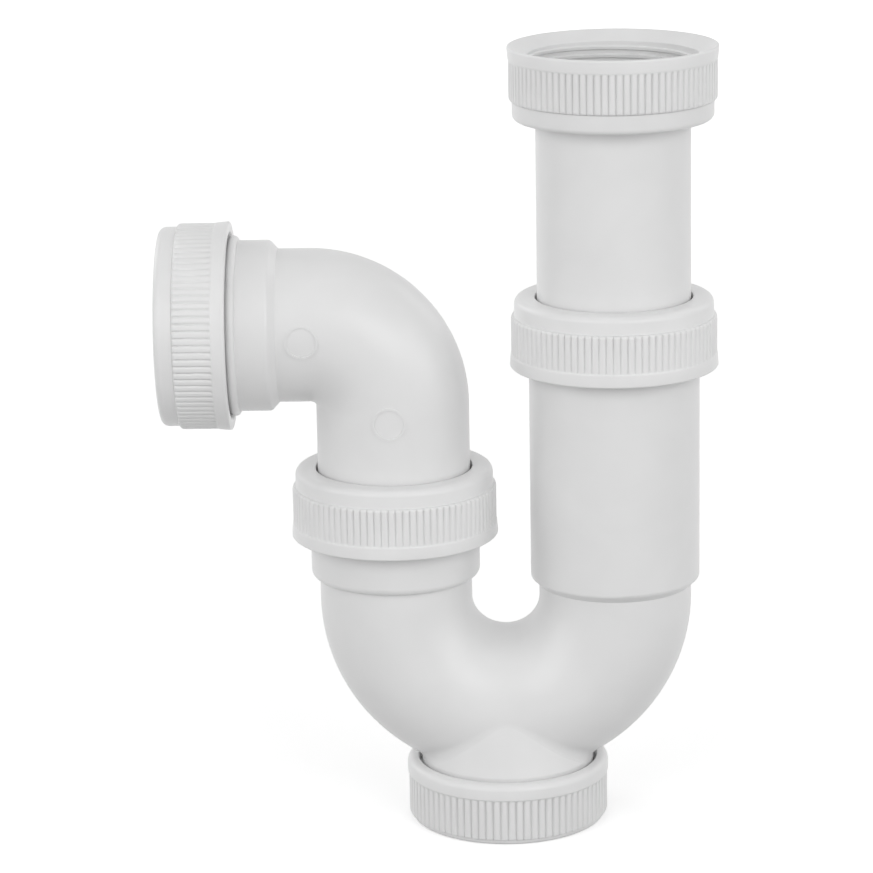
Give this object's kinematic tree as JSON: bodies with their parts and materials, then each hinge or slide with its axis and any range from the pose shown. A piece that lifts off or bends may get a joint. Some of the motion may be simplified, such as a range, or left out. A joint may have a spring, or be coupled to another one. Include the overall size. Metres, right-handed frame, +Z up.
{
  "type": "tubular swivel waste trap",
  "caption": "White plastic tubular P-trap with a telescopic inlet, ribbed compression nuts, a U-bend with a cleaning cap and a swivel elbow outlet.",
  "frame": {"origin": "centre of the cleaning cap's flat underside, which the trap stands on", "axes": "+Z up along the inlet; +X from the riser towards the inlet column; the outlet points along -X"},
  "size_m": [0.1567, 0.0588, 0.2239],
  "materials": {
    "body_plastic": "white moulded polypropylene, satin",
    "nut_plastic": "white moulded polypropylene with grip ribs, satin",
    "ring_plastic": "natural polyethylene",
    "seal_rubber": "black sealing rubber"
  },
  "bodies": {
    "trap_body": {"trap_body": "body_plastic", "telescope_seal": "seal_rubber", "swivel_seal": "seal_rubber"},
    "telescope_ring": {"telescope_slip_ring": "ring_plastic"},
    "telescope_nut": {"telescope_nut": "nut_plastic"},
    "inlet_tube": {"inlet_tube": "body_plastic", "inlet_washer": "seal_rubber"},
    "inlet_nut": {"inlet_nut": "nut_plastic"},
    "swivel_ring": {"swivel_slip_ring": "ring_plastic"},
    "swivel_nut": {"swivel_nut": "nut_plastic"},
    "outlet_elbow": {"outlet_elbow": "body_plastic", "outlet_seal": "seal_rubber"},
    "outlet_ring": {"outlet_slip_ring": "ring_plastic"},
    "outlet_nut": {"outlet_nut": "nut_plastic"},
    "cap_washer": {"cap_washer": "seal_rubber"},
    "cleaning_cap": {"cleaning_cap": "nut_plastic"}
  },
  "joints": [
    {"name": "telescope_nut_climb", "type": "slide", "parent": "trap_body", "child": "telescope_ring", "axis": [0, 0, 1], "range_m": [0, 0.0081]},
    {"name": "telescope_nut_turn", "type": "hinge", "parent": "telescope_ring", "child": "telescope_nut", "pos_m": [0.0313, 0, 0.1531], "axis": [0, 0, 1], "range_deg": [-1, 811]},
    {"name": "swivel_nut_climb", "type": "slide", "parent": "trap_body", "child": "swivel_ring", "axis": [0, 0, 1], "range_m": [0, 0.0081]},
    {"name": "swivel_nut_turn", "type": "hinge", "parent": "swivel_ring", "child": "swivel_nut", "pos_m": [-0.0313, 0, 0.1045], "axis": [0, 0, 1], "range_deg": [-1, 811]},
    {"name": "outlet_nut_climb", "type": "slide", "parent": "outlet_elbow", "child": "outlet_ring", "axis": [-1, 0, 0], "range_m": [0, 0.0081]},
    {"name": "outlet_nut_turn", "type": "hinge", "parent": "outlet_ring", "child": "outlet_nut", "pos_m": [-0.096, 0, 0.1457], "axis": [-1, 0, 0], "range_deg": [-1, 811]},
    {"name": "cap_climb", "type": "slide", "parent": "trap_body", "child": "cap_washer", "axis": [0, 0, -1], "range_m": [0, 0.0081]},
    {"name": "cap_turn", "type": "hinge", "parent": "cap_washer", "child": "cleaning_cap", "pos_m": [0, 0, 0], "axis": [0, 0, -1], "range_deg": [-1, 811]},
    {"name": "inlet_slide", "type": "slide", "parent": "trap_body", "child": "inlet_tube", "axis": [0, 0, 1], "range_m": [-0.04, 0.008]},
    {"name": "inlet_nut_spin", "type": "hinge", "parent": "inlet_tube", "child": "inlet_nut", "pos_m": [0.0313, 0, 0.2131], "axis": [0, 0, 1], "continuous": true},
    {"name": "elbow_swivel", "type": "hinge", "parent": "trap_body", "child": "outlet_elbow", "pos_m": [-0.0313, 0, 0.0983], "axis": [0, 0, 1], "range_deg": [-110, 110]}
  ],
  "couplings": [
    {"joint": "telescope_nut_turn", "follows": "telescope_nut_climb", "rad_per_m": 1745.3},
    {"joint": "swivel_nut_turn", "follows": "swivel_nut_climb", "rad_per_m": 1745.3},
    {"joint": "outlet_nut_turn", "follows": "outlet_nut_climb", "rad_per_m": 1745.3},
    {"joint": "cap_turn", "follows": "cap_climb", "rad_per_m": 1745.3}
  ]
}
